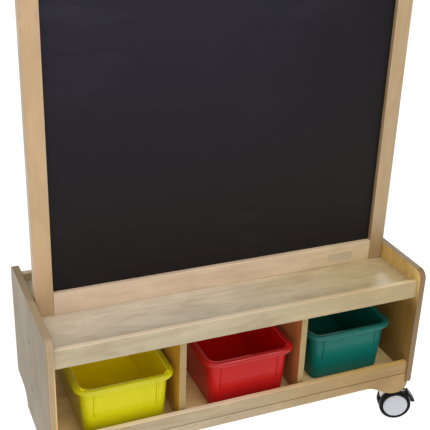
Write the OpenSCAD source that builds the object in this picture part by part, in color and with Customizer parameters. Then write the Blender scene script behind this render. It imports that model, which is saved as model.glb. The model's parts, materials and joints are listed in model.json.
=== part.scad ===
// Mobile two-sided chalkboard easel on a storage base with casters.
// Millimetres. +Z is up, -Y is the front, and the origin is on the floor under the middle of the base.

/* [Base] */
// Overall width across the end panels
base_w = 850; // [820:5:950]
// Overall depth of the end panels
base_d = 336; // [330:2:380]
// Thickness of the boards that the base is made of
ply_t = 15; // [14:1:16]
// Height of the tray surface above the floor
tray_z = 370; // [360:5:400]
// Rise of the end panels above the tray surface
end_rise = 38; // [30:1:60]
// Radius of the upper corners of the end panels
end_corner_r = 20; // [10:1:30]
// Height of the bottom edge of the end panels between the casters
skirt_z = 96; // [92:1:104]
// Height of the front corner notches of the end panels
front_notch_z = 117; // [114:1:120]
// Height of the rear corner notches of the end panels
rear_notch_z = 131; // [118:1:140]
// Half the length of the bottom edge of the end panels between the notches
skirt_half = 70; // [50:5:90]

/* [Trays and shelf] */
// Distance of the tray lips behind the edges of the end panels
tray_recess = 6; // [3:1:10]
// Rise of the front lip above the tray surface
front_lip_rise = 13; // [10:0.5:20]
// Rise of the rear lip above the tray surface
rear_lip_rise = 19; // [10:0.5:25]
// Drop of both lips below the tray surface
lip_drop = 29; // [20:0.5:35]
// Height of the lower shelf surface above the floor
shelf_z = 140; // [140:1:145]
// Height of the stop rails on the lower shelf
stop_h = 31; // [20:1:40]
// Distance of the stop rails and aprons behind the edges of the end panels
apron_recess = 3; // [2:1:6]
// Height of the aprons' lower edge between the lobes
apron_z = 119; // [114:1:124]
// Height of the lowest edge of the apron lobes, which stand before the caster plates
lobe_z = 89.5; // [86:0.5:92]
// Distance of the dividers' middles from the middle of the base
divider_x = 140; // [137:1:142]

/* [Board] */
// Gap between the board frame and each end panel
frame_gap = 1; // [1:1:5]
// Overall height of the easel
easel_h = 1200; // [1000:10:1400]
// Thickness of the frame bars
frame_t = 26; // [20:1:34]
// Width of the stiles and of the top rail
stile_w = 36.5; // [30:0.5:50]
// Width of the stiles' legs, which run down through the tray to the lower shelf
leg_w = 20; // [16:1:20]
// Height of the bottom rail
rail_h = 50; // [40:1:70]
// Thickness of the chalkboard panel
board_t = 6; // [4:1:9]
// Depth of the groove that holds the chalkboard panel
groove_d = 8; // [6:1:10]

/* [Bins] */
// Width of a bin across its rim
bin_w = 215; // [180:1:218]
// Depth of a bin across its rim, from the front of the base towards the rear
bin_d = 296; // [280:2:300]
// Height of a bin
bin_h = 124; // [90:1:140]
// Corner radius of the rim
bin_rim_r = 36; // [30:1:45]
// Width of the rolled rim
bin_rim_w = 13; // [9:1:15]
// Wall thickness of a bin
bin_wall = 2.5; // [2:0.5:4]
// Place of each bin across the free width of its bay, from -1 at the left to 1 at the right
bin_place = [0.69, 0.83, 0.78]; // [-1:0.01:1]
// Place of the front of each bin's rim, from left to right
bin_front = [-152, -150, -134]; // [-154:1:-132]

/* [Casters] */
// Diameter of a caster wheel
wheel_d = 75; // [70:1:75]
// Width of each of a caster's two wheels
wheel_w = 14; // [12:1:16]
// Gap between a caster's two wheels
wheel_gap = 14; // [12:1:16]
// Distance of the wheel axle behind the swivel axis
trail = 25; // [20:1:28]
// Distance of the swivel axes from the inner faces of the end panels
stem_inset = 21; // [21:1:28]
// Distance of the swivel axes from the front and rear edges of the end panels
stem_setback = 45; // [45:1:50]
// Turn of the front casters' wheels away from straight outwards
front_turn = 21; // [-45:1:45]

/* [Hidden] */
$fn = 64;
CASTERS = [
    ["caster_front_right", 1, -1, -front_turn],
    ["caster_front_left", -1, -1, 180 + front_turn],
    ["caster_rear_right", 1, 1, 180 + front_turn],
    ["caster_rear_left", -1, 1, -front_turn]
];
CASTER_PIECES = ["plate", "kingpin", "housing", "axle", "tyres", "hubs", "brake_lever"];
BINS = ["bin_yellow", "bin_red", "bin_green"];

PLY = "burlywood";
PLY_EDGE = "peru";
MAPLE = "navajowhite";
SLATE = "#2a2624";
STEEL = "silver";
BLACK = "#101014";
BIN_COLOURS = ["gold", "firebrick", "darkslategray"];

eps = 0.01;
inner_w = base_w - 2 * ply_t;
frame_w = inner_w - 2 * frame_gap;
stem_x = inner_w / 2 - stem_inset;
stem_y = base_d / 2 - stem_setback;
leg_inner_x = frame_w / 2 - leg_w;
divider_face_x = divider_x + ply_t / 2;
side_bay_mid = (leg_inner_x + divider_face_x) / 2;
bin_clearance = 1;
side_play = (leg_inner_x - divider_face_x - bin_w) / 2 - bin_clearance;
middle_play = divider_x - ply_t / 2 - bin_w / 2 - bin_clearance;
bin_x = [
    -side_bay_mid + bin_place[0] * side_play,
    bin_place[1] * middle_play,
    side_bay_mid + bin_place[2] * side_play
];
panel_top = tray_z + end_rise;
panel_foot_r = 10;
lip_outer_y = base_d / 2 - tray_recess;
lip_inner_y = lip_outer_y - ply_t;
apron_outer_y = base_d / 2 - apron_recess;
apron_inner_y = apron_outer_y - ply_t;
edge_r = 3;
bay_h = tray_z - ply_t - shelf_z;
board_lap = groove_d - 1;
badge_place = [295, 22];
badge_size = [62, 20, 0.8];
badge_r = 5;

// Bins
bin_draft = 7;
bin_bend = 4;
rib_x = 67;
rib_r = 3;
rib_depth = 0.5;
rib_drop = 72;
rib_h = 64;

// Fixings
bolt_z = [tray_z - 59, tray_z - 177];
bolt_head_r = 6;
bolt_head_t = 3.5;
bolt_shank_r = 3;
bolt_l = ply_t + frame_gap + leg_w - 6;
bolt_sunk = 0.8;
socket_af = 5;
fit_gap = 0.05;

// Casters
axle_z = wheel_d / 2;
axle_r = 4;
plate_z = 92;
plate_t = 3;
plate_side = 42;
plate_hole = 16;
boss_r = 13;
pin_r = 4;
pin_foot_z = 52;
housing_t = wheel_gap - 1;
neck_x = [-9, 13];
neck_z = [50, 77];
housing_r = wheel_d / 2 - 7.5;
collar_r = 14;
collar_z = [wheel_d + 1, 84];
lever_pivot = [trail + 21, axle_z + 20];
lever_pin_r = 2;
lever_boss_r = 5.5;
lever_t = 6.5;
pedal_w = 20;
pedal_tip = [lever_pivot[0] + 23.5, lever_pivot[1] - 12.5];
pedal_tip_r = 3.8;
pedal_top = [lever_pivot[0] + 9, lever_pivot[1] + 8.5];
pedal_top_r = 2.5;
hub_r = 29;
hub_face = 1.2;
screw_r = 2;
screw_l = 18;
screw_head_r = 3.6;
screw_head_t = 2;
block_side = 56;

// Arc of points round [cx, cy], from angle a0 to angle a1.
function arc(cx, cy, r, a0, a1, n = 14) =
    [for (i = [0 : n]) let (a = a0 + (a1 - a0) * i / n) [cx + r * cos(a), cy + r * sin(a)]];

// Rectangle with rounded corners, centred, with true arcs.
module rounded_rect(w, h, r) {
    square([w - 2 * r, h], center = true);
    square([w, h - 2 * r], center = true);
    for (x = [-1, 1])
        for (y = [-1, 1])
            translate([x * (w / 2 - r), y * (h / 2 - r)])
                circle(r);
}

// A bar along X, given its Y and Z limits, with its long edges rounded.
module bar_x(length, y0, y1, z0, z1, r) {
    translate([-length / 2, (y0 + y1) / 2, (z0 + z1) / 2])
        rotate([90, 0, 90])
            linear_extrude(length)
                rounded_rect(y1 - y0, z1 - z0, r);
}

// Puts its children at each bolt, with +Z pointing into the base from the outer face of an end panel.
module bolt_places(sides = [-1, 1]) {
    for (side = sides)
        for (z = bolt_z)
            translate([side * base_w / 2, 0, z])
                rotate([0, -side * 90, 0])
                    children();
}

// ---- Base ----

// Side view of an end panel: rounded upper corners and a notch over each caster.
module end_panel_outline() {
    half = base_d / 2;
    front_r = front_notch_z - skirt_z;
    rear_r = rear_notch_z - skirt_z;
    polygon(concat(
        [[-half, front_notch_z]],
        arc(-half + end_corner_r, panel_top - end_corner_r, end_corner_r, 180, 90),
        arc(half - end_corner_r, panel_top - end_corner_r, end_corner_r, 90, 0),
        arc(half - panel_foot_r, rear_notch_z + panel_foot_r, panel_foot_r, 0, -90),
        arc(skirt_half + rear_r, skirt_z, rear_r, 90, 180),
        arc(-skirt_half - front_r, skirt_z, front_r, 0, 90)
    ));
}

// One end panel, on the side given as -1 (left) or 1 (right), with its bolt holes.
module end_panel(side) {
    color(PLY)
        difference() {
            translate([side > 0 ? base_w / 2 - ply_t : -base_w / 2, 0, 0])
                rotate([90, 0, 90])
                    linear_extrude(ply_t)
                        end_panel_outline();
            bolt_places([side])
                translate([0, 0, -1]) {
                    cylinder(h = ply_t + 2, r = bolt_shank_r + fit_gap);
                    cylinder(h = 1 + bolt_sunk + bolt_head_t, r = bolt_head_r + fit_gap);
                }
        }
}

// Upper shelf, whose top is the surface of both trays, notched at its ends for the stiles' legs.
module tray_shelf() {
    play = 0.3;
    color(PLY)
        difference() {
            translate([-inner_w / 2, -lip_inner_y, tray_z - ply_t])
                cube([inner_w, 2 * lip_inner_y, ply_t]);
            for (x = [-inner_w / 2 - 1, leg_inner_x - play])
                translate([x, -frame_t / 2 - play, tray_z - ply_t - 1])
                    cube([inner_w / 2 - leg_inner_x + play + 1, frame_t + 2 * play, ply_t + 2]);
        }
}

// Tray lip on the front (-1) or rear (1) edge of the tray shelf.
module tray_lip(side, rise) {
    y0 = side > 0 ? lip_inner_y : -lip_outer_y;
    color(PLY)
        bar_x(inner_w, y0, y0 + ply_t, tray_z - lip_drop, tray_z + rise, edge_r);
}

module base_shelf() {
    color(PLY)
        translate([-inner_w / 2, -apron_inner_y, shelf_z - ply_t])
            cube([inner_w, 2 * apron_inner_y, ply_t]);
}

// Rail that keeps the bins on the lower shelf, on the front (-1) or rear (1).
module stop_rail(side) {
    y0 = side > 0 ? apron_inner_y : -apron_outer_y;
    color(PLY)
        bar_x(inner_w, y0, y0 + ply_t, shelf_z, shelf_z + stop_h, edge_r);
}

// Right half of an apron's lower edge, from its middle to its top outer corner.
function apron_half() =
    let (
        drop = apron_z - lobe_z,
        lobe_start = base_w / 2 - 119,
        lobe_mid = base_w / 2 - 39,
        end_r = 24,
        lobe_end = base_w / 2 - 31
    )
    concat(
        [for (i = [0 : 16]) let (t = i / 16)
            [lobe_start + (lobe_mid - lobe_start) * t, apron_z - drop * (1 - cos(180 * t)) / 2]],
        arc(lobe_end, lobe_z + end_r, end_r, -90, 0),
        [[lobe_end + end_r, front_notch_z - 1], [inner_w / 2, front_notch_z - 1], [inner_w / 2, shelf_z]]
    );

// Front (-1) or rear (1) apron, with a lobe at each end that laps under the end panel.
module apron(side) {
    right = apron_half();
    left = [for (i = [len(right) - 1 : -1 : 0]) [-right[i][0], right[i][1]]];
    color(PLY)
        translate([0, side > 0 ? apron_outer_y : -apron_inner_y, 0])
            rotate([90, 0, 0])
                linear_extrude(ply_t)
                    polygon(concat(right, left));
}

// Divider between two bays, at x.
module divider(x) {
    color(PLY)
        translate([x - ply_t / 2, -lip_inner_y, shelf_z])
            cube([ply_t, 2 * lip_inner_y, bay_h]);
}

// Bolts through the end panels into the stiles' legs.
module panel_bolts() {
    color(STEEL)
        bolt_places()
            translate([0, 0, bolt_sunk])
                difference() {
                    union() {
                        cylinder(h = bolt_head_t - fit_gap, r = bolt_head_r);
                        cylinder(h = bolt_l, r = bolt_shank_r);
                    }
                    translate([0, 0, -1])
                        cylinder(h = 3, d = socket_af / cos(30), $fn = 6);
                }
}

// ---- Board ----

// Section of a frame bar, w wide and frame_t thick, with the panel groove along its +X side.
module frame_section(w) {
    difference() {
        rounded_rect(w, frame_t, 1.5);
        translate([w / 2 - groove_d, -board_t / 2 - 0.1])
            square([groove_d + 1, board_t + 0.2]);
    }
}

// Stile on the left (-1) or right (1), with a narrower leg that is bolted to the end panel.
module stile(side) {
    color(MAPLE)
        difference() {
            translate([side * frame_w / 2, 0, 0])
                rotate([0, 0, side > 0 ? 180 : 0]) {
                    translate([stile_w / 2, 0, tray_z])
                        linear_extrude(easel_h - tray_z)
                            frame_section(stile_w);
                    translate([leg_w / 2, 0, shelf_z])
                        linear_extrude(tray_z - shelf_z + eps)
                            rounded_rect(leg_w, frame_t, 1.5);
                }
            bolt_places([side])
                cylinder(h = bolt_sunk + bolt_l + 1, r = bolt_shank_r + fit_gap);
        }
}

// Rail between the stiles, h high, with its groove facing up (1) or down (-1).
// A tongue at each end fills the stile's groove.
module frame_rail(z0, h, facing) {
    length = frame_w - 2 * stile_w;
    tongue = length + 2 * board_lap;
    translate([facing * length / 2, 0, z0 + h / 2])
        rotate([0, facing * -90, 0])
            linear_extrude(length)
                frame_section(h);
    translate([-tongue / 2, -board_t / 2, facing > 0 ? z0 : z0 + groove_d])
        cube([tongue, board_t, h - groove_d]);
}

module rail_bottom() {
    color(MAPLE)
        frame_rail(tray_z, rail_h, 1);
}

module rail_top() {
    color(MAPLE)
        frame_rail(easel_h - stile_w, stile_w, -1);
}

// Panel in the frame's grooves, writable on both faces.
module chalkboard() {
    w = frame_w - 2 * stile_w + 2 * board_lap;
    z0 = tray_z + rail_h - board_lap;
    color(SLATE)
        translate([-w / 2, -board_t / 2, z0])
            cube([w, board_t, easel_h - stile_w + board_lap - z0]);
}

// Blank plate on the face of the bottom rail.
module badge_plate() {
    color("darkseagreen")
        translate([badge_place[0], -frame_t / 2, tray_z + badge_place[1]])
            rotate([90, 0, 0])
                linear_extrude(badge_size[2])
                    rounded_rect(badge_size[0], badge_size[1], badge_r);
}

// ---- Bins ----

// Section of a bin's wall and rim; x is the distance from the axis of the corner's rounding.
module bin_section() {
    top_r = bin_rim_r - bin_rim_w;
    foot_r = top_r - bin_draft;
    bend = bin_bend;
    roll = 4;
    rim_h = 9;
    t = bin_wall;
    polygon(concat(
        arc(foot_r - bend, bend, bend, -90, -10, 6),
        arc(top_r + 2, bin_h - t - 2, 2, 170, 90, 4),
        arc(bin_rim_r - roll, bin_h - roll, roll - t, 90, 0, 5),
        [[bin_rim_r - t, bin_h - rim_h], [bin_rim_r, bin_h - rim_h]],
        arc(bin_rim_r - roll, bin_h - roll, roll, 0, 90, 8),
        arc(top_r - t + roll, bin_h - roll, roll, 90, 170, 6),
        arc(foot_r - bend, bend, bend - t, -10, -90, 6)
    ));
}

// The section swept round a rounded rectangle that is w by d between the corners' axes.
module sweep_round(w, d) {
    for (i = [0 : 3])
        translate([(i == 0 || i == 3 ? 1 : -1) * w / 2, (i < 2 ? 1 : -1) * d / 2, 0])
            rotate([0, 0, 90 * i])
                rotate_extrude(angle = 90)
                    children();
    for (i = [0 : 3])
        rotate([0, 0, 90 * i])
            translate([(i % 2 == 0 ? w : d) / 2, (i % 2 == 0 ? d : w) / 2, 0])
                rotate([90, 0, 0])
                    linear_extrude(i % 2 == 0 ? d : w)
                        children();
}

// Storage bin number i, counted from the left.
module bin(i) {
    w = bin_w - 2 * bin_rim_r;
    d = bin_d - 2 * bin_rim_r;
    foot = bin_rim_r - bin_rim_w - bin_draft - bin_bend;
    rib_y = -bin_d / 2 + bin_rim_w + bin_draft * rib_drop / bin_h + rib_depth;
    color(BIN_COLOURS[i])
        translate([bin_x[i], bin_front[i] + bin_d / 2, shelf_z]) {
            sweep_round(w, d)
                bin_section();
            linear_extrude(bin_wall)
                rounded_rect(w + 2 * foot + eps, d + 2 * foot + eps, foot + eps / 2);
            for (x = [-rib_x, rib_x])
                translate([x, rib_y, bin_h - rib_drop])
                    rotate([atan(bin_draft / bin_h), 0, 0])
                        cylinder(h = rib_h, r = rib_r);
        }
}

// ---- Casters ----

module caster_blocks() {
    color(PLY_EDGE)
        for (c = CASTERS)
            translate([c[1] > 0 ? inner_w / 2 - block_side : -inner_w / 2,
                       c[2] > 0 ? apron_inner_y - block_side : -apron_inner_y, plate_z])
                difference() {
                    cube([block_side, block_side, shelf_z - ply_t - plate_z]);
                    translate([-c[1] * (inner_w / 2 - stem_x) + (c[1] > 0 ? block_side : 0),
                               -c[2] * (apron_inner_y - stem_y) + (c[2] > 0 ? block_side : 0), 0])
                        screw_places()
                            translate([0, 0, -1])
                                cylinder(h = screw_l + 1, r = screw_r + fit_gap);
                }
}

// Puts its children at each of the four plate screws.
module screw_places() {
    for (x = [-1, 1])
        for (y = [-1, 1])
            translate([x * plate_hole, y * plate_hole, 0])
                children();
}

module caster_screws() {
    color(STEEL)
        for (c = CASTERS)
            translate([c[1] * stem_x, c[2] * stem_y, plate_z - plate_t])
                screw_places() {
                    cylinder(h = screw_l, r = screw_r);
                    translate([0, 0, -screw_head_t])
                        cylinder(h = screw_head_t, r = screw_head_r);
                }
}

// Moves a caster's own frame (stem axis on Z, wheels trailing along +X) to its place under the base.
module at_caster(c) {
    translate([c[1] * stem_x, c[2] * stem_y, 0])
        children();
}

// Square plate with a ball-race boss. It stays square to the base.
module caster_plate(c) {
    color(STEEL)
        at_caster(c)
            difference() {
                union() {
                    translate([0, 0, plate_z - plate_t])
                        linear_extrude(plate_t)
                            rounded_rect(plate_side, plate_side, 4);
                    translate([0, 0, collar_z[1] + 0.4])
                        cylinder(h = plate_z - plate_t - collar_z[1] - 0.4 + eps, r = boss_r);
                }
                translate([0, 0, plate_z - plate_t - 1])
                    screw_places()
                        cylinder(h = plate_t + 2, r = screw_r + fit_gap);
                translate([0, 0, pin_foot_z])
                    cylinder(h = plate_z - pin_foot_z + 1, r = pin_r);
            }
}

// Swivel pin, fast in the plate, that the housing turns on.
module caster_kingpin(c) {
    color(STEEL)
        at_caster(c)
            translate([0, 0, pin_foot_z])
                cylinder(h = plate_z - pin_foot_z, r = pin_r);
}

// Side view of the swivelling housing between the wheels.
module housing_outline() {
    translate([trail, axle_z])
        circle(housing_r);
    translate(lever_pivot)
        circle(7);
    polygon([[neck_x[0], neck_z[0]], [neck_x[0] - 3, collar_z[0] + eps], [neck_x[1] + 1, collar_z[0] + eps],
             [lever_pivot[0], lever_pivot[1] + 7], [trail, axle_z]]);
    translate([neck_x[0], neck_z[0]])
        square([neck_x[1] - neck_x[0], neck_z[1] - neck_z[0]]);
}

// Swivelling housing: web between the wheels, swivel collar and the slot of the brake lever.
module caster_housing(c) {
    color("lightgray")
        at_caster(c)
            rotate([0, 0, c[3]])
                difference() {
                    union() {
                        rotate([90, 0, 0])
                            translate([0, 0, -housing_t / 2])
                                linear_extrude(housing_t)
                                    housing_outline();
                        translate([0, 0, collar_z[0]])
                            cylinder(h = collar_z[1] - collar_z[0], r = collar_r);
                    }
                    translate([0, 0, pin_foot_z - 1])
                        cylinder(h = collar_z[1] - pin_foot_z + 2, r = pin_r + fit_gap);
                    translate([trail, 0, axle_z])
                        rotate([90, 0, 0])
                            cylinder(h = housing_t + 2, r = axle_r + fit_gap, center = true);
                    translate([lever_pivot[0], 0, lever_pivot[1]])
                        rotate([90, 0, 0])
                            cylinder(h = housing_t + 2, r = lever_pin_r + fit_gap, center = true);
                    translate([lever_pivot[0] - 8, -lever_t / 2 - 0.3, lever_pivot[1] - 8])
                        cube([20, lever_t + 0.6, 20]);
                }
}

// Axle that turns in the housing and carries both wheels.
module caster_axle(c) {
    color(STEEL)
        at_wheels(c)
            cylinder(h = wheel_gap + 2 * wheel_w - 6, r = axle_r, center = true);
}

// Moves a frame whose Z is the axle line to a caster's axle.
module at_wheels(c) {
    at_caster(c)
        rotate([0, 0, c[3]])
            translate([trail, 0, axle_z])
                rotate([90, 0, 0])
                    children();
}

// Both treads of a caster.
module caster_tyres(c) {
    round_r = 4;
    color(BLACK)
        at_wheels(c)
            for (side = [0, 1])
                mirror([0, 0, side])
                    translate([0, 0, wheel_gap / 2])
                        rotate_extrude()
                            polygon(concat(
                                [[hub_r, 0]],
                                arc(wheel_d / 2 - 2, 2, 2, -90, 0, 4),
                                arc(wheel_d / 2 - round_r, wheel_w - round_r, round_r, 0, 90, 6),
                                [[hub_r, wheel_w]]
                            ));
}

// Both wheel discs of a caster, each domed outwards over the end of the axle.
module caster_hubs(c) {
    pocket = wheel_w - 3;
    color("gainsboro")
        at_wheels(c)
            for (side = [0, 1])
                mirror([0, 0, side])
                    translate([0, 0, wheel_gap / 2])
                        rotate_extrude()
                            polygon([
                                [axle_r, 0.5], [hub_r, 0.5], [hub_r, wheel_w - 0.5],
                                [hub_r - 1.5, wheel_w + hub_face - 0.6], [hub_r - 7, wheel_w + hub_face],
                                [0, wheel_w + hub_face], [0, pocket], [axle_r, pocket]
                            ]);
}

// Brake lever: arm in the housing's slot, its pivot pin, and a pedal that curves down behind the wheels.
module caster_brake_lever(c) {
    px = lever_pivot[0];
    pz = lever_pivot[1];
    pedal_r = wheel_d / 2 + 1.5;
    color(BLACK)
        at_caster(c)
            rotate([0, 0, c[3]])
                union() {
                    translate([px, 0, pz])
                        rotate([90, 0, 0])
                            cylinder(h = housing_t - 1, r = lever_pin_r, center = true);
                    rotate([90, 0, 0]) {
                        translate([0, 0, -lever_t / 2])
                            linear_extrude(lever_t) {
                                translate([px, pz])
                                    circle(lever_boss_r);
                                polygon([[px, pz - lever_boss_r], [px + 15, pz - 7], [px + 18, pz],
                                         [px + 10, pz + 9], [px, pz + lever_boss_r]]);
                            }
                        translate([0, 0, -pedal_w / 2])
                            linear_extrude(pedal_w)
                                polygon(concat(
                                    arc(trail, axle_z, pedal_r, 44, 8, 8),
                                    arc(pedal_tip[0], pedal_tip[1], pedal_tip_r, -100, 40, 8),
                                    arc(pedal_top[0], pedal_top[1], pedal_top_r, 45, 150, 5)
                                ));
                    }
                }
}

// ---- Assembly ----

end_panel(-1);  // end_panel_left
end_panel(1);  // end_panel_right
tray_shelf();
tray_lip(-1, front_lip_rise);  // tray_lip_front
tray_lip(1, rear_lip_rise);  // tray_lip_rear
base_shelf();
stop_rail(-1);  // stop_rail_front
stop_rail(1);  // stop_rail_rear
apron(-1);  // apron_front
apron(1);  // apron_rear
divider(-divider_x);  // divider_left
divider(divider_x);  // divider_right
stile(-1);  // stile_left
stile(1);  // stile_right
rail_bottom();
rail_top();
chalkboard();
badge_plate();
panel_bolts();
caster_blocks();
caster_screws();
for (i = [0 : 2])
    bin(i);
for (c = CASTERS) {
    caster_plate(c);
    caster_kingpin(c);
    caster_housing(c);
    caster_axle(c);
    caster_tyres(c);
    caster_hubs(c);
    caster_brake_lever(c);
}
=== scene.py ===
"""Looks of a mobile two-sided chalkboard easel: lacquered plywood base, framed board, moulded bins, casters.

Metres. The CAD nodes are the frame. Boards keep their CAD solids and get softened edges and wood materials;
the bins, wheels and badge are built here in the places that the CAD gives.
"""

import json
import math

import bmesh
import bpy
from mathutils import Matrix, Vector


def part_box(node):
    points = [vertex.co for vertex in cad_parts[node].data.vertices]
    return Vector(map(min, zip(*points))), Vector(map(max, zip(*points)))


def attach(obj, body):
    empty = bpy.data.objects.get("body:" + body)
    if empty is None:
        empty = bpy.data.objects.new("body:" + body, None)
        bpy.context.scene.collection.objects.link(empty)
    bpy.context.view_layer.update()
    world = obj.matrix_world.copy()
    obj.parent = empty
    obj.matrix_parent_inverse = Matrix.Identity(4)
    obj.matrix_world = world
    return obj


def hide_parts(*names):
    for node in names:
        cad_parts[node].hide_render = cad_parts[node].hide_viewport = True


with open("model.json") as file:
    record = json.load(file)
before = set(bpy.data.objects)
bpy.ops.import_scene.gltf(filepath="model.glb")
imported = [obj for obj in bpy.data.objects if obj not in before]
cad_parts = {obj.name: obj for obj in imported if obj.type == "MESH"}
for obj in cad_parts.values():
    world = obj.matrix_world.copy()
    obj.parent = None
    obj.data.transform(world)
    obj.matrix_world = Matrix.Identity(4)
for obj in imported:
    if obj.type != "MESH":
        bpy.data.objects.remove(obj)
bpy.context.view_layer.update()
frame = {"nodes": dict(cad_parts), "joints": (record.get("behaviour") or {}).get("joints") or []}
MM = 0.001
AXES = {"X": 0, "Y": 1, "Z": 2}
CASTERS = ("front_right", "front_left", "rear_right", "rear_left")


# ---- Shader nodes ----


class Graph:
    """A material and short calls that add shader nodes to it."""

    def __init__(self, name):
        self.material = bpy.data.materials.new(name)
        self.material.use_nodes = True
        self.tree = self.material.node_tree
        self.shader = self.tree.nodes["Principled BSDF"]

    def add(self, kind, inputs=(), **settings):
        """A node of that kind; inputs maps a socket's name or number to a value or another node's output."""
        node = self.tree.nodes.new("ShaderNode" + kind)
        for key, value in settings.items():
            setattr(node, key, value)
        for key, value in dict(inputs).items():
            self.put(node.inputs[key], value)
        return node

    def put(self, socket, value):
        """Links the value to the socket if it is another node's output, or sets it."""
        if isinstance(value, bpy.types.NodeSocket):
            self.tree.links.new(value, socket)
        else:
            socket.default_value = value

    def surface(self, **values):
        """Sets the shader's sockets, such as Roughness=0.4; an underscore stands for a space."""
        for key, value in values.items():
            self.put(self.shader.inputs[key.replace("_", " ")], value)

    def math(self, operation, a, b=0.0, clamp=False):
        """A sum, product or other operation on two values."""
        node = self.add("Math", {0: a, 1: b}, operation=operation, use_clamp=clamp)
        return node.outputs[0]

    def mix(self, share, a, b, blend="MIX"):
        """Colour a with that share of colour b."""
        node = self.add("Mix", {0: share, 6: a, 7: b}, data_type="RGBA", blend_type=blend)
        return node.outputs[2]

    def step(self, value, low, high, to_low=0.0, to_high=1.0):
        """A smooth step of value from low to high."""
        inputs = {"Value": value, "From Min": low, "From Max": high, "To Min": to_low, "To Max": to_high}
        return self.add("MapRange", inputs, interpolation_type="SMOOTHSTEP").outputs["Result"]

    def place(self, scale=(1, 1, 1), shift=(0, 0, 0)):
        """Object coordinates, scaled and shifted."""
        vector = self.add("TexCoord").outputs["Object"]
        node = self.add("Mapping", {"Vector": vector, "Location": shift, "Scale": scale})
        return node.outputs["Vector"]

    def noise(self, vector, detail, roughness=0.5, distortion=0.0):
        """Noise with features about as large as the vector's unit."""
        inputs = {"Vector": vector, "Scale": 1.0, "Detail": detail, "Roughness": roughness,
                  "Distortion": distortion}
        return self.add("TexNoise", inputs).outputs["Fac"]

    def bump(self, height, distance):
        """A normal for fine relief; a height of 1 stands for the distance in metres."""
        return self.add("Bump", {"Height": height, "Distance": distance, "Strength": 1.0}).outputs["Normal"]

    def part(self, vector, axis):
        """One coordinate of a vector."""
        return self.add("SeparateXYZ", {0: vector}).outputs[AXES[axis]]

    def lacquer(self, gloss=1.0):
        """A clear coat over the surface."""
        self.surface(Coat_Weight=0.30 * gloss, Coat_Roughness=0.28, Coat_IOR=1.5)


def rgb(red, green, blue):
    """An opaque colour, in linear light."""
    return (red, green, blue, 1.0)


def shaded(colour, red, green, blue):
    """A colour with each of its channels multiplied."""
    return rgb(colour[0] * red, colour[1] * green, colour[2] * blue)


# ---- Materials ----

# Heights, in metres, of the fine relief on each kind of surface
FACE_BUMP = 0.00006
HARDWOOD_BUMP = 0.00007
CHALK_BUMP = 0.00003
PLASTIC_BUMP = 0.00002
RUBBER_BUMP = 0.00003
STEEL_BUMP = 0.00002

# How strong the growth figure and the patches are on plywood faces and on solid bars
PLY_FIGURE = 0.8
BAR_FIGURE = 0.5
# The stretches of X over which long boards and bars darken towards their right end, a painted shade, and that
# painted shade's tone for the bars
PLY_SHADE_SPAN = (-0.15, 0.36)
BAR_SHADE_SPAN = (-0.05, 0.42)
BAR_SHADE_TONE = rgb(0.88, 0.90, 0.78)
# The stretch of Z over which the upright boards' inner faces lose the tone painted on them in the bays,
# upwards: painted shade on the right panel, painted light on the left
BAY_TOP = (0.30, 0.38)
PLIES = 7


def grain_scale(axis, along, across):
    """Noise scales, per metre, for wood whose fibres run along one axis."""
    return tuple(along if AXES[axis] == i else across for i in range(3))


def wood_colour(g, axis, shift, pale, deep, figure):
    """Colour and height of a wood face, whose fibres run along the axis.

    Broad tone, growth figure, streaks, fibres, short pores, and light and dark patches as strong as figure.
    """
    tone = g.noise(g.place(grain_scale(axis, 1.6, 9.0), shift), detail=2.0)
    # Growth figure: bands of a slow noise, repeated like the contours of a map.
    wander = g.noise(g.place(grain_scale(axis, 1.1, 7.0), shift), detail=2.0, distortion=0.4)
    bands = g.math("FRACT", g.math("MULTIPLY", wander, 11.0))
    rings = g.step(g.math("PINGPONG", bands, 0.5), 0.03, 0.30)
    fibre = g.noise(g.place(grain_scale(axis, 16.0, 900.0), shift), detail=2.0, roughness=0.6)
    streak = g.noise(g.place(grain_scale(axis, 2.5, 110.0), shift), detail=3.0, roughness=0.55)
    pores = g.step(g.noise(g.place(grain_scale(axis, 90.0, 1900.0), shift), detail=0.0), 0.70, 0.80)
    cloud = g.noise(g.place(grain_scale(axis, 9.0, 26.0), shift), detail=3.0, roughness=0.6, distortion=0.5)
    share = g.math("MULTIPLY", g.step(tone, 0.30, 0.70), 0.45)
    share = g.math("ADD", share, g.math("MULTIPLY", g.math("SUBTRACT", 1.0, rings), 0.30 * figure))
    share = g.math("ADD", share, g.math("MULTIPLY", g.step(streak, 0.42, 0.72), 0.30 * figure))
    share = g.math("ADD", share, g.math("MULTIPLY", g.step(fibre, 0.35, 0.75), 0.14), clamp=True)
    colour = g.mix(share, pale, deep)
    light_patch = g.math("MULTIPLY", g.step(cloud, 0.50, 0.66), 0.45 * figure)
    colour = g.mix(light_patch, colour, shaded(pale, 1.28, 1.25, 1.18))
    dark_patch = g.math("MULTIPLY", g.step(cloud, 0.48, 0.32), 0.50 * figure)
    colour = g.mix(dark_patch, colour, shaded(deep, 0.84, 0.77, 0.68))
    shade = g.mix(0.55, colour, rgb(0.55, 0.42, 0.30), "MULTIPLY")
    colour = g.mix(g.math("MULTIPLY", pores, 0.55), colour, shade)
    height = g.math("SUBTRACT", fibre, g.math("MULTIPLY", pores, 0.8))
    return colour, height


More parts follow.
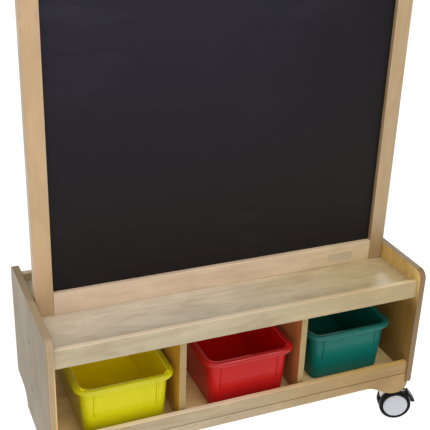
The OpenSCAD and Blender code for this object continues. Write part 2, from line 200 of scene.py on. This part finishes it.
def ply_edge(g, axis, middle, thickness, tint, contrast):
    """Colour and height of a plywood edge: long-grain and end-grain plies through the thickness."""
    vector = g.place()
    depth = g.math("DIVIDE", g.math("SUBTRACT", g.part(vector, axis), middle), thickness)
    layer = g.math("MULTIPLY", g.math("ADD", depth, 0.5), float(PLIES))
    wobble = g.math("MULTIPLY", g.math("SUBTRACT", g.noise(g.place((30, 30, 30)), detail=1.0), 0.5), 0.35)
    band = g.math("PINGPONG", g.math("ADD", g.math("ADD", layer, 0.5), wobble), 1.0)
    dark = g.step(band, 0.35, 0.65)
    speck = g.noise(g.place((700, 700, 700)), detail=2.0)
    tone = g.noise(g.place((14, 14, 14)), detail=2.0)
    pale_ply = g.mix(tone, shaded(tint, 1.0, 0.94, 0.88), shaded(tint, 0.86, 0.76, 0.70))
    dark_ply = g.mix(speck, shaded(tint, 0.66, 0.50, 0.40), shaded(tint, 0.44, 0.32, 0.26))
    colour = g.mix(g.math("MULTIPLY", dark, contrast), pale_ply, dark_ply)
    return colour, g.math("ADD", speck, g.math("MULTIPLY", dark, -0.6))


def plywood(name, grain, thin, node, tones, edge_tint, seed, contrast, gloss):
    """Lacquered birch plywood for one board: face veneer with its own figure, and plies on the edges.

    The tones are pale, deep and painted light. The painted-light tone multiplies long boards towards their
    right end, a painted shade, and upright ones on their face in the bay: painted shade on the right panel,
    painted light on the left.
    """
    g = Graph(name)
    low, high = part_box(node)
    middle = (low[AXES[thin]] + high[AXES[thin]]) / 2
    thickness = high[AXES[thin]] - low[AXES[thin]]
    shift = (seed * 3.17, seed * 1.93, seed * 2.41)
    pale, deep, painted_light = tones
    face, face_height = wood_colour(g, grain, shift, pale, deep, PLY_FIGURE)
    edge, edge_height = ply_edge(g, thin, middle, thickness, edge_tint, contrast)
    normal = g.part(g.add("TexCoord").outputs["Normal"], thin)
    on_edge = g.math("SUBTRACT", 1.0, g.step(g.math("ABSOLUTE", normal), 0.45, 0.75))
    colour = g.mix(on_edge, face, edge)
    # Painted light and shade: long boards darken towards their right end, and upright boards take the third
    # tone on their inner face in the bay.
    if painted_light and grain == "X":
        colour = g.mix(g.step(g.part(g.place(), "X"), *PLY_SHADE_SPAN), colour, painted_light, "MULTIPLY")
    elif painted_light:
        below = g.step(g.part(g.place(), "Z"), *BAY_TOP, 1.0, 0.0)
        inner = min(abs(low.x), abs(high.x))
        across = g.math("ABSOLUTE", g.part(g.place(), "X"))
        inside = g.step(across, inner + 1 * MM, inner + 3 * MM, 1.0, 0.0)
        colour = g.mix(g.math("MULTIPLY", below, inside), colour, painted_light, "MULTIPLY")
    height = g.add("Mix", {0: on_edge, 2: face_height, 3: edge_height}).outputs[0]
    worn = g.noise(g.place((6, 6, 6), shift), detail=3.0)
    rough = g.math("ADD", g.step(worn, 0.3, 0.7, 0.36, 0.46), g.math("MULTIPLY", on_edge, 0.12))
    g.surface(Base_Color=colour, Roughness=rough, Specular_IOR_Level=0.5 * gloss,
              Normal=g.bump(height, FACE_BUMP))
    g.lacquer(gloss)
    return g.material


def hardwood(name, grain, pale, deep, seed, lacquered=True):
    """Solid light hardwood with straight fibres along one axis."""
    g = Graph(name)
    shift = (seed * 2.71, seed * 1.37, seed * 3.59)
    colour, height = wood_colour(g, grain, shift, pale, deep, BAR_FIGURE)
    # Painted shade: bars along X darken towards their right end.
    if grain == "X":
        painted_light = g.step(g.part(g.place(), "X"), *BAR_SHADE_SPAN)
        colour = g.mix(painted_light, colour, BAR_SHADE_TONE, "MULTIPLY")
    worn = g.noise(g.place((7, 7, 7), shift), detail=3.0)
    g.surface(Base_Color=colour, Roughness=g.step(worn, 0.3, 0.7, 0.38, 0.50),
              Normal=g.bump(height, HARDWOOD_BUMP))
    if lacquered:
        g.lacquer()
    return g.material


def chalk_paint(name, low_z, high_z):
    """Black chalkboard paint: a faint haze of wiped chalk, and a painted reflection that makes it warmer at
    the foot and bluer towards the top.
    """
    g = Graph(name)
    rise = g.step(g.part(g.place(), "Z"), low_z, high_z)
    haze = g.noise(g.place((2.2, 2.2, 1.4)), detail=4.0, roughness=0.6, distortion=0.6)
    wipes = g.noise(g.place((3.0, 3.0, 26.0)), detail=3.0, roughness=0.65)
    grit = g.noise(g.place((900, 900, 900)), detail=2.0)
    # Painted reflection: at the top the colour is bluer towards the left and darker towards the right; at the
    # foot it is warmer.
    across = g.step(g.part(g.place(), "X"), -0.05, 0.42)
    upper_reflection = g.mix(across, rgb(0.0130, 0.0112, 0.0205), rgb(0.0055, 0.0050, 0.0072))
    base = g.mix(rise, rgb(0.0100, 0.0075, 0.0072), upper_reflection)
    dust = g.math("MULTIPLY", g.step(haze, 0.45, 0.80), g.step(wipes, 0.35, 0.75))
    colour = g.mix(g.math("MULTIPLY", dust, 0.020), base, rgb(0.60, 0.60, 0.62))
    rough = g.step(g.math("ADD", haze, g.math("MULTIPLY", grit, 0.2)), 0.3, 0.9, 0.50, 0.64)
    g.surface(Base_Color=colour, Roughness=rough, Specular_IOR_Level=0.12,
              Normal=g.bump(grit, CHALK_BUMP))
    return g.material


def moulded_plastic(name, colour, roughness, specular=0.5):
    """Injection-moulded plastic: faint flow marks in the colour and a fine sheen."""
    g = Graph(name)
    flow = g.noise(g.place((9, 9, 5)), detail=3.0, roughness=0.55, distortion=0.8)
    fine = g.noise(g.place((420, 420, 420)), detail=2.0)
    dusk = shaded(colour, 0.86, 0.86, 0.86)
    base = g.mix(g.math("MULTIPLY", g.step(flow, 0.3, 0.7), 0.6), colour, dusk)
    sheen = g.math("ADD", flow, g.math("MULTIPLY", fine, 0.3))
    rough = g.step(sheen, 0.4, 0.9, roughness, roughness + 0.06)
    wave = g.math("ADD", g.math("MULTIPLY", fine, 1.0), g.math("MULTIPLY", flow, 6.0))
    g.surface(Base_Color=base, Roughness=rough, Specular_IOR_Level=specular,
              Normal=g.bump(wave, PLASTIC_BUMP))
    return g.material


def tread_rubber(name):
    """Black rubber, scuffed in places."""
    g = Graph(name)
    fine = g.noise(g.place((600, 600, 600)), detail=3.0)
    scuff = g.noise(g.place((60, 60, 60)), detail=3.0, roughness=0.6)
    colour = g.mix(g.math("MULTIPLY", g.step(scuff, 0.5, 0.8), 0.35), rgb(0.0015, 0.0014, 0.0022),
                   rgb(0.006, 0.0055, 0.007))
    g.surface(Base_Color=colour, Roughness=g.step(scuff, 0.3, 0.8, 0.34, 0.52), Specular_IOR_Level=0.14,
              Normal=g.bump(fine, RUBBER_BUMP))
    return g.material


def zinc_steel(name):
    """Zinc-plated steel with a cloudy sheen."""
    g = Graph(name)
    fine = g.noise(g.place((500, 500, 500)), detail=2.0)
    cloud = g.noise(g.place((70, 70, 70)), detail=3.0)
    colour = g.mix(cloud, rgb(0.62, 0.62, 0.64), rgb(0.48, 0.48, 0.50))
    g.surface(Base_Color=colour, Metallic=1.0, Roughness=g.step(cloud, 0.3, 0.7, 0.26, 0.42),
              Normal=g.bump(fine, STEEL_BUMP))
    return g.material


# ---- Meshes ----

LATHE_STEPS = 96


def new_piece(name, verts, faces, material, body, slot, smooth_angle):
    """A mesh object that rides on a body, shaded smooth up to the angle in degrees."""
    mesh = bpy.data.meshes.new(name)
    mesh.from_pydata([tuple(v) for v in verts], [], faces)
    work = bmesh.new()
    work.from_mesh(mesh)
    bmesh.ops.remove_doubles(work, verts=work.verts, dist=1e-7)
    bmesh.ops.recalc_face_normals(work, faces=work.faces)
    work.to_mesh(mesh)
    work.free()
    mesh.shade_smooth()
    mesh.set_sharp_from_angle(angle=math.radians(smooth_angle))
    mesh.materials.append(material)
    piece = bpy.data.objects.new(name, mesh)
    bpy.context.scene.collection.objects.link(piece)
    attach(piece, body)
    return piece


def arc(centre_x, centre_y, radius, start, end, steps, rise=None):
    """Points round a centre, from start to end in degrees; rise is the radius along the second axis."""
    rise = radius if rise is None else rise
    turn = [math.radians(start + (end - start) * i / steps) for i in range(steps + 1)]
    return [(centre_x + radius * math.cos(a), centre_y + rise * math.sin(a)) for a in turn]


def skin(rings):
    """Faces between rings of vertex numbers, each to the next, with a cap on the first and on the last."""
    faces = []
    for one, two in zip(rings, rings[1:]):
        for i in range(len(one)):
            j = (i + 1) % len(one)
            faces.append((one[i], one[j], two[j], two[i]))
    return faces + [tuple(reversed(rings[0])), tuple(rings[-1])]


def lathe(profile, origin, across):
    """Vertices and faces of a closed profile turned round an axis; its points are (radius, place) in mm."""
    axis = Vector(across).normalized()
    up = Vector((0, 0, 1))
    side = axis.cross(up)
    verts, faces, rings = [], [], []
    for radius, along in profile:
        centre = Vector(origin) + axis * along * MM
        if radius == 0:
            rings.append([len(verts)] * LATHE_STEPS)
            verts.append(centre)
            continue
        rings.append(list(range(len(verts), len(verts) + LATHE_STEPS)))
        for i in range(LATHE_STEPS):
            a = 2 * math.pi * i / LATHE_STEPS
            verts.append(centre + (side * math.cos(a) + up * math.sin(a)) * radius * MM)
    for one, two in zip(rings, rings[1:] + rings[:1]):
        for i in range(LATHE_STEPS):
            j = (i + 1) % LATHE_STEPS
            face = list(dict.fromkeys([one[i], one[j], two[j], two[i]]))
            if len(face) > 2:
                faces.append(face)
    return verts, faces


def soften(node, material, width=0.0, segments=3):
    """Gives a CAD piece its material, and softened edges when a width is given; the CAD mesh itself stays as
    it is.
    """
    piece = frame["nodes"][node]
    piece.data.materials.clear()
    piece.data.materials.append(material)
    weld = piece.modifiers.new("weld", "WELD")
    weld.merge_threshold = 0.005 * MM
    if width:
        flat = piece.modifiers.new("flat", "DECIMATE")
        flat.decimate_type = "DISSOLVE"
        flat.angle_limit = math.radians(0.5)
        edge = piece.modifiers.new("edge", "BEVEL")
        edge.width = width
        edge.segments = segments
        edge.limit_method = "ANGLE"
        edge.angle_limit = math.radians(32)
        edge.harden_normals = True


# ---- Camera, stage and lights ----

CAMERA_PLACE = (-0.7001, -1.5677, 1.3394)
CAMERA_TURN = (-23.544, -25.116, 2.075)  # yaw, pitch and roll in degrees; no yaw looks along +Y
CAMERA_LENS = 74.48
FLOOR_HALF = 12.0
# Axis: (low, high, strength below, strength above) of the sky's fade, for a direction of length 1
SKY_FADES = {"Z": (0.05, 0.40, 1.02, 0.36), "Y": (-0.5, 0.9, 1.05, 0.55)}
# Light: (place, aimed at, size, watts, colour)
LIGHTS = {
    "key": ((-0.5, -3.2, 2.0), (0, 0, 0.3), (1.6, 1.0), 27, (1.0, 0.98, 0.95)),
    "top": ((-1.3, -0.5, 3.2), (0.1, 0, 0.3), (1.6, 1.6), 29, (1.0, 0.99, 0.96)),
    "rim_strip": ((0.9, -1.5, 2.7), (0.0, -0.15, 0.25), (1.9, 0.30), 26, (1, 1, 1)),
    "back_window": ((2.2, 2.6, 2.0), (0.2, 0, 0.4), (1.2, 1.2), 14, (1, 1, 1)),
}


def make_camera():
    """The product shot's view: from the front left and above, a slightly long lens."""
    camera = bpy.data.objects.new("camera", bpy.data.cameras.new("camera"))
    bpy.context.scene.collection.objects.link(camera)
    yaw, pitch, roll = (math.radians(a) for a in CAMERA_TURN)
    ahead = Vector((-math.sin(yaw) * math.cos(pitch), math.cos(yaw) * math.cos(pitch), math.sin(pitch)))
    right = ahead.cross(Vector((0, 0, 1))).normalized()
    up = right.cross(ahead)
    turned_right = right * math.cos(roll) + up * math.sin(roll)
    turned_up = up * math.cos(roll) - right * math.sin(roll)
    turn = Matrix((turned_right, turned_up, -ahead)).transposed().to_4x4()
    camera.matrix_world = Matrix.Translation(CAMERA_PLACE) @ turn
    camera.data.sensor_width = 36.0
    camera.data.lens = CAMERA_LENS
    camera.data.clip_start = 0.05
    camera.data.clip_end = 100.0
    bpy.context.scene.camera = camera


def make_floor():
    """A pale seamless studio floor."""
    corners = [(x * FLOOR_HALF, y * FLOOR_HALF, 0) for x, y in ((-1, -1), (1, -1), (1, 1), (-1, 1))]
    mesh = bpy.data.meshes.new("floor")
    mesh.from_pydata(corners, [], [(0, 1, 2, 3)])
    floor = bpy.data.objects.new("floor", mesh)
    bpy.context.scene.collection.objects.link(floor)
    g = Graph("studio_floor")
    tone = g.noise(g.place((0.7, 0.7, 0.7)), detail=2.0)
    g.surface(Base_Color=g.mix(tone, rgb(0.24, 0.24, 0.24), rgb(0.28, 0.28, 0.28)), Roughness=0.9,
              Specular_IOR_Level=0.1, Emission_Color=rgb(1, 1, 1), Emission_Strength=0.93)
    mesh.materials.append(g.material)


def make_sky():
    """A pale sky, dimmer overhead and behind the easel."""
    world = bpy.data.worlds.new("studio")
    bpy.context.scene.world = world
    world.use_nodes = True
    tree = world.node_tree
    sky = tree.nodes["Background"]
    sky.inputs["Color"].default_value = rgb(0.98, 0.99, 1.0)
    way = tree.nodes.new("ShaderNodeTexCoord")
    split = tree.nodes.new("ShaderNodeSeparateXYZ")
    tree.links.new(way.outputs["Generated"], split.inputs[0])
    both = tree.nodes.new("ShaderNodeMath")
    both.operation = "MULTIPLY"
    for i, (axis, values) in enumerate(SKY_FADES.items()):
        fade = tree.nodes.new("ShaderNodeMapRange")
        fade.interpolation_type = "SMOOTHSTEP"
        for name, value in zip(("From Min", "From Max", "To Min", "To Max"), values):
            fade.inputs[name].default_value = value
        tree.links.new(split.outputs[axis], fade.inputs["Value"])
        tree.links.new(fade.outputs["Result"], both.inputs[i])
    tree.links.new(both.outputs[0], sky.inputs["Strength"])


def make_lights():
    """The softboxes, and the picture's plain tone curve."""
    for name, (place, aim, size, watts, colour) in LIGHTS.items():
        light = bpy.data.lights.new(name, "AREA")
        light.shape = "RECTANGLE"
        light.size, light.size_y = size
        light.energy = watts
        light.color = colour
        lamp = bpy.data.objects.new(name, light)
        bpy.context.scene.collection.objects.link(lamp)
        lamp.location = place
        lamp.rotation_euler = (Vector(aim) - Vector(place)).to_track_quat("-Z", "Y").to_euler()
    bpy.context.scene.view_settings.view_transform = "Standard"
    bpy.context.scene.view_settings.look = "None"


# ---- Boards and frame ----

# Face tones of each board: pale, deep, and what multiplies its right end or its face in a bay. The boards are
# lit and shaded copies of one birch, lighter or darker by how light falls on each: painted light and shade.
BIRCH = (rgb(0.45, 0.365, 0.245), rgb(0.35, 0.260, 0.15), rgb(0.76, 0.58, 0.24))
LIP_BIRCH = (rgb(0.42, 0.35, 0.225), rgb(0.33, 0.25, 0.137), rgb(0.86, 0.80, 0.60))
# Painted light: the rear lip is a lighter copy of the birch.
REAR_BIRCH = (rgb(0.66, 0.53, 0.32), rgb(0.53, 0.39, 0.20), rgb(0.90, 0.84, 0.66))
STOP_BIRCH = (rgb(0.41, 0.33, 0.205), rgb(0.32, 0.235, 0.12), rgb(0.80, 0.61, 0.26))
# Painted shade: the left panel is a darker copy of the birch; its third tone is painted light that lifts its
# inner face in the bay.
LEFT_BIRCH = (rgb(0.275, 0.21, 0.122), rgb(0.215, 0.155, 0.08), rgb(2.2, 1.9, 1.4))
TRAY_BIRCH = (rgb(0.62, 0.535, 0.42), rgb(0.45, 0.365, 0.26), rgb(0.84, 0.78, 0.56))
# Painted light and shade: the right panel is a bright, warm copy for its lit inner face above the tray; its
# third tone is painted shade on that face in the bay.
RIGHT_BIRCH = (rgb(0.78, 0.52, 0.18), rgb(0.60, 0.38, 0.10), rgb(0.34, 0.28, 0.19))
SHELF_BIRCH = (rgb(0.90, 0.68, 0.34), rgb(0.76, 0.54, 0.22), None)
# Painted reflection: the dividers are tinted yellow and red by the light bounced from the bins beside them.
LEFT_DIVIDER = (rgb(0.66, 0.36, 0.045), rgb(0.55, 0.27, 0.02), None)
RIGHT_DIVIDER = (rgb(0.44, 0.15, 0.05), rgb(0.34, 0.095, 0.03), None)
# Face tones of the frame's bars: pale and deep. The right stile's maple is a darker copy, painted shade, and
# the rails' a lighter one, painted light.
MAPLE = (rgb(0.455, 0.305, 0.160), rgb(0.36, 0.225, 0.102))
RIGHT_MAPLE_SHADED = (rgb(0.375, 0.258, 0.134), rgb(0.30, 0.190, 0.086))
RAIL_MAPLE_LIT = (rgb(0.72, 0.56, 0.41), rgb(0.56, 0.40, 0.265))
# Tints of the boards' edges. The right panel's is darker, painted shade; the lips' and stop rails' is
# lighter, a painted highlight along their rounded tops.
EDGES = {
    "left": rgb(0.45, 0.375, 0.245),
    "right": rgb(0.26, 0.170, 0.065),
    "lip": rgb(0.80, 0.71, 0.54),
    "front": rgb(0.42, 0.34, 0.22),
    "divider": rgb(0.38, 0.30, 0.13),
}

# Node: (grain, thin axis, edge radius in mm, face tones, tint of the edges, contrast of their plies, gloss).
# The aprons keep the CAD's edges.
PLY_BOARDS = {
    "end_panel_left": ("Z", "X", 3.0, LEFT_BIRCH, "left", 0.55, 0.25),
    "end_panel_right": ("Z", "X", 3.0, RIGHT_BIRCH, "right", 0.8, 0.8),
    "tray_shelf": ("X", "Z", 0.4, TRAY_BIRCH, "front", 0.5, 1.0),
    "tray_lip_front": ("X", "Y", 0.6, LIP_BIRCH, "lip", 0.10, 1.0),
    "tray_lip_rear": ("X", "Y", 0.6, REAR_BIRCH, "lip", 0.10, 1.0),
    "base_shelf": ("X", "Z", 0.4, SHELF_BIRCH, "front", 0.5, 1.0),
    "stop_rail_front": ("X", "Y", 0.6, STOP_BIRCH, "lip", 0.20, 1.0),
    "stop_rail_rear": ("X", "Y", 0.6, STOP_BIRCH, "lip", 0.20, 1.0),
    "apron_front": ("X", "Y", 0.0, BIRCH, "front", 0.35, 1.0),
    "apron_rear": ("X", "Y", 0.0, BIRCH, "front", 0.35, 1.0),
    "divider_left": ("Z", "X", 1.6, LEFT_DIVIDER, "divider", 0.5, 0.8),
    "divider_right": ("Z", "X", 1.6, RIGHT_DIVIDER, "divider", 0.5, 0.8),
}
FRAME_BARS = {
    "stile_left": ("Z", MAPLE),
    "stile_right": ("Z", RIGHT_MAPLE_SHADED),
    "rail_bottom": ("X", RAIL_MAPLE_LIT),
    "rail_top": ("X", RAIL_MAPLE_LIT),
}


def dress_boards():
    """Wood, paint and steel for the CAD pieces of the base and the board's frame."""
    for seed, (node, board) in enumerate(PLY_BOARDS.items(), start=1):
        grain, thin, radius, tones, edge, contrast, gloss = board
        wood = plywood(node + "_wood", grain, thin, node, tones, EDGES[edge], seed, contrast, gloss)
        soften(node, wood, radius * MM)
    for seed, (node, (grain, tones)) in enumerate(FRAME_BARS.items(), start=21):
        soften(node, hardwood(node + "_wood", grain, *tones, seed))
    low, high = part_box("chalkboard")
    soften("chalkboard", chalk_paint("chalkboard_paint", low.z, high.z))
    raw = hardwood("raw_hardwood", "Z", rgb(0.60, 0.44, 0.26), rgb(0.44, 0.29, 0.15), 31, lacquered=False)
    soften("caster_blocks", raw, 0.8 * MM)
    steel = zinc_steel("zinc_plate")
    for node in ("panel_bolts", "caster_screws"):
        soften(node, steel)


# ---- Bins ----

# A bin's sizes, in millimetres. The rim reaches RIM_W out from the wall's top and lies within RIM_DROP of the
# bin's top; the wall leans in by DRAFT.
RIM_W = 13.0
RIM_DROP = 9.5
DRAFT = 7.0
WALL = 2.5
CORNER_R = 36.0
FOOT_BEND = 4.5
# The shell's widest ring stays this far inside the CAD's box.
CLEARANCE = 0.3
# Ribs stand RIB_X from the bin's middle, and run from RIB_LENGTH below its top up to the rim.
RIB_X = 67.0
RIB_HALF = 3.4
RIB_OUT = 3.0
RIB_LENGTH = 72.0
RIB_START = 3.0
# (roughness, specular) of the walls, of the inside and of the rim
WALL_SHEEN = (0.09, 0.16)
INSIDE_SHEEN = (0.19, 0.2)
RIM_SHEEN = (0.09, 0.33)
# Painted shade: the rim's colour is the plastic's, multiplied by RIM_SHADE.
RIM_SHADE = 0.84
# Bin: (colour, colour inside). The inside's colour is painted light: a separate copy of the plastic's colour
# for the shaded inside, brighter and warmer for yellow and red.
BINS = {
    "yellow": (rgb(0.62, 0.565, 0.005), rgb(0.98, 0.82, 0.001)),
    "red": (rgb(0.48, 0.012, 0.011), rgb(0.66, 0.008, 0.006)),
    "green": (rgb(0.006, 0.138, 0.113), rgb(0.002, 0.13, 0.095)),
}


def rounded_outline(width, depth, radius):
    """Points round a rounded rectangle, the same count at any size, dense where a bin's ribs stand."""
    marks = [-0.985] + [-0.98 + 0.01 * i for i in range(13)] + [-0.6, -0.3]
    marks = marks + [0.0] + [-m for m in reversed(marks)]
    half_w, half_d = width / 2 - radius, depth / 2 - radius
    points = []
    corners = [(half_w, half_d, 0), (-half_w, half_d, 90), (-half_w, -half_d, 180), (half_w, -half_d, 270)]
    for n, (x, y, start) in enumerate(corners):
        points += arc(x, y, radius, start, start + 90, 14)
        end_x, end_y = points[-1]
        next_x, next_y = corners[(n + 1) % 4][:2]
        for mark in marks:
            share = (mark + 1) / 2
            points.append((end_x + (next_x - x) * share, end_y + (next_y - y) * share))
    return points


def bin_profile(height):
    """(inset, height, is outer wall) from the foot outside, up and over the rim, down to the floor inside."""
    foot, inner = RIM_W + DRAFT, RIM_W + WALL
    wall_top, bend_low = height - 11.0, height - 4.4
    wall_steps, inside_steps = 26, 8
    outside = arc(foot + FOOT_BEND, FOOT_BEND, FOOT_BEND, 270, 180, 6)
    for i in range(1, wall_steps + 1):
        share = i / wall_steps
        outside.append((foot - DRAFT * share, FOOT_BEND + (wall_top - FOOT_BEND) * share))
    # The rim's underside, with a small lip at its edge, then its domed top and the bend down into the bin.
    under_rim = [(RIM_W - 1.2, height - 8.6), (RIM_W - 3.2, height - 7.4), (2.6, height - 7.0),
                 (1.4, height - 7.6), (1.0, height - 9.0), (0.5, height - 9.4), (0.0, height - 9.0)]
    over_rim = arc(8.4, height - 7.4, 8.4, 180, 90, 9, 7.2) + [(9.6, height - 0.35)]
    inside = arc(inner - 3.6, bend_low, 3.6, 75, 0, 5, 3.4)
    for i in range(1, inside_steps + 1):
        share = i / inside_steps
        inside.append((inner + DRAFT * share, bend_low - (bend_low - FOOT_BEND) * share))
    floor_bend = FOOT_BEND - WALL
    inside += arc(inner + DRAFT + floor_bend, FOOT_BEND, floor_bend, 195, 270, 5)
    rows = [(inset, z, True) for inset, z in outside]
    return rows + [(inset, z, False) for inset, z in under_rim + over_rim + inside]


def rib_proud(x, z, height):
    """How far a rib stands out of the front or rear wall at a point, x from the bin's middle and z up."""
    across = max(0.0, 1 - (abs(abs(x) - RIB_X) / RIB_HALF) ** 2)
    rise = min(1.0, max(0.0, (z - height + RIB_LENGTH) / RIB_START))
    return RIB_OUT * across * rise


def make_bin(colour_name, colour, inside_lit_colour):
    """A moulded bin with a rolled rim, tapered walls and two short ribs at the front and at the back."""
    node = "bin_" + colour_name
    low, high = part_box(node)
    centre = (low + high) / 2
    width, depth, height = ((high - low) / MM)[:]
    verts, rings = [], []
    for inset, z, outside in bin_profile(height):
        inset = max(inset, CLEARANCE)
        ring = []
        for x, y in rounded_outline(width - 2 * inset, depth - 2 * inset, CORNER_R - inset):
            if outside and abs(y) > depth / 2 - inset - 1.0:
                y += math.copysign(rib_proud(x, z, height), y)
            ring.append(len(verts))
            verts.append((centre.x + x * MM, centre.y + y * MM, low.z + z * MM))
        rings.append(ring)
    wall = moulded_plastic(node + "_plastic", colour, *WALL_SHEEN)
    body, slot = colour_name + "_bin", colour_name + "_plastic"
    piece = new_piece(node + "_shell", verts, skin(rings), wall, body, slot, 40)
    # Painted shade on the rim, a darker copy of the colour, and painted light inside, a lighter copy.
    rim_colour = shaded(colour, RIM_SHADE, RIM_SHADE, RIM_SHADE)
    piece.data.materials.append(moulded_plastic(node + "_inside", inside_lit_colour, *INSIDE_SHEEN))
    piece.data.materials.append(moulded_plastic(node + "_rim", rim_colour, *RIM_SHEEN))
    half_x, half_y = ((side / 2 - RIM_W - 0.6) * MM for side in (width, depth))
    # Faces that look up within the walls are the inside, in its painted-light colour; the rest of the top is
    # the rim, in its painted-shade colour.
    for face in piece.data.polygons:
        x, y = abs(face.center.x - centre.x), abs(face.center.y - centre.y)
        if face.normal.z > 0.05 and x < half_x and y < half_y:
            face.material_index = 1
        elif face.center.z > high.z - RIM_DROP * MM:
            face.material_index = 2
    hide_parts(node)


# ---- Casters ----

# Sizes of a caster's wheels in millimetres; WHEEL_IN is from the middle of the axle to a wheel's inner side
WHEEL_IN = 7.0
WHEEL_W = 14.0
WHEEL_R = 37.5
HUB_R = 29.0


def tyre_profile():
    """(radius, place across) round a tyre, with a shallow groove round its tread."""
    groove_r = WHEEL_R - 0.5
    profile = [(HUB_R, 0.0)] + arc(WHEEL_R - 2.4, 2.4, 2.4, -90, 0, 6)
    profile += [(WHEEL_R, WHEEL_W * 0.45), (groove_r, WHEEL_W * 0.49), (groove_r, WHEEL_W * 0.53)]
    profile += [(WHEEL_R, WHEEL_W * 0.57)] + arc(WHEEL_R - 4.2, WHEEL_W - 4.2, 4.2, 0, 90, 8)
    return profile + [(HUB_R + 1.6, WHEEL_W), (HUB_R + 0.8, WHEEL_W - 0.7), (HUB_R, WHEEL_W - 0.8)]


def disc_profile():
    """(radius, place across) round a hub disc: a crowned face with a groove near its edge and a boss."""
    rim, face = HUB_R - 0.15, WHEEL_W + 1.2
    profile = [(0.0, 0.6), (rim, 0.6), (rim, WHEEL_W - 0.6)] + arc(HUB_R - 1.6, face - 1.9, 1.4, 10, 80, 4)
    profile += [(HUB_R - 3.4, face - 0.35), (HUB_R - 4.0, face - 0.7), (HUB_R - 4.6, face - 0.35)]
    profile += [(HUB_R - 7.0, face - 0.1), (12.0, face), (11.4, face - 0.45), (10.8, face - 0.1)]
    return profile + [(6.0, face), (0.0, face)]


def wheel_pair(corner, profile):
    """Vertices and faces of a profile turned round a caster's axle, once for each wheel."""
    roll = next(joint for joint in frame["joints"] if joint["name"] == corner + "_wheel_roll")
    axle, across = Vector(roll["pos_m"]), Vector(roll["axis"]).normalized()
    verts, faces = [], []
    for side in (-1, 1):
        more, shapes = lathe(profile, axle + across * side * WHEEL_IN * MM, across * side)
        faces += [[i + len(verts) for i in shape] for shape in shapes]
        verts += more
    return verts, faces


def make_wheels(corner, rubber, hub_plastic):
    """A caster's two tyres and its two hub discs, each pair as one piece."""
    name, body = "caster_" + corner, corner + "_wheels"
    treads = wheel_pair(corner, tyre_profile())
    piece = new_piece(name + "_treads", *treads, rubber, body, "tyre_rubber", 30)
    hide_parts(name + "_tyres")
    discs = wheel_pair(corner, disc_profile())
    piece = new_piece(name + "_discs", *discs, hub_plastic, body, "hub_plastic", 30)
    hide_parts(name + "_hubs")


def dress_casters():
    """Wheels for the four casters, and materials for their CAD pieces."""
    rubber = tread_rubber("caster_rubber")
    hub_plastic = moulded_plastic("caster_hub", rgb(0.51, 0.52, 0.56), 0.30)
    housing = moulded_plastic("caster_housing", rgb(0.78, 0.77, 0.77), 0.34)
    lever = moulded_plastic("caster_lever", rgb(0.004, 0.004, 0.006), 0.34, 0.3)
    steel = zinc_steel("caster_steel")
    for corner in CASTERS:
        make_wheels(corner, rubber, hub_plastic)
        name = "caster_" + corner
        soften(name + "_housing", housing, 0.8 * MM)
        soften(name + "_brake_lever", lever, 0.7 * MM)
        soften(name + "_plate", steel, 0.3 * MM, 2)
        soften(name + "_kingpin", steel)
        soften(name + "_axle", steel)


# ---- Badge ----

BADGE_R = 5.0
# (inset in mm, share of the plate's thickness) from the back edge, over the raised border, to the field
BADGE_STEPS = ((0.0, 0.0), (0.0, 0.72), (0.15, 0.94), (0.4, 1.0), (1.3, 1.0), (1.5, 0.7), (2.0, 0.6))


def make_badge():
    """A blank rounded plate with a plain raised border, on the face of the bottom rail."""
    low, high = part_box("badge_plate")
    centre = (low + high) / 2
    width, thickness, tall = ((high - low) / MM)[:]
    verts, rings = [], []
    for inset, share in BADGE_STEPS:
        ring = []
        for x, z in rounded_outline(width - 2 * inset, tall - 2 * inset, BADGE_R - inset):
            ring.append(len(verts))
            verts.append((centre.x + x * MM, high.y - thickness * share * MM, centre.z + z * MM))
        rings.append(ring)
    material = moulded_plastic("badge_plastic", rgb(0.50, 0.41, 0.27), 0.35)
    piece = new_piece("badge_blank", verts, skin(rings), material, "base", "badge", 40)
    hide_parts("badge_plate")


make_camera()
make_floor()
make_sky()
make_lights()
dress_boards()
for bin_name, (bin_colour, bin_inside_lit_colour) in BINS.items():
    make_bin(bin_name, bin_colour, bin_inside_lit_colour)
dress_casters()
make_badge()
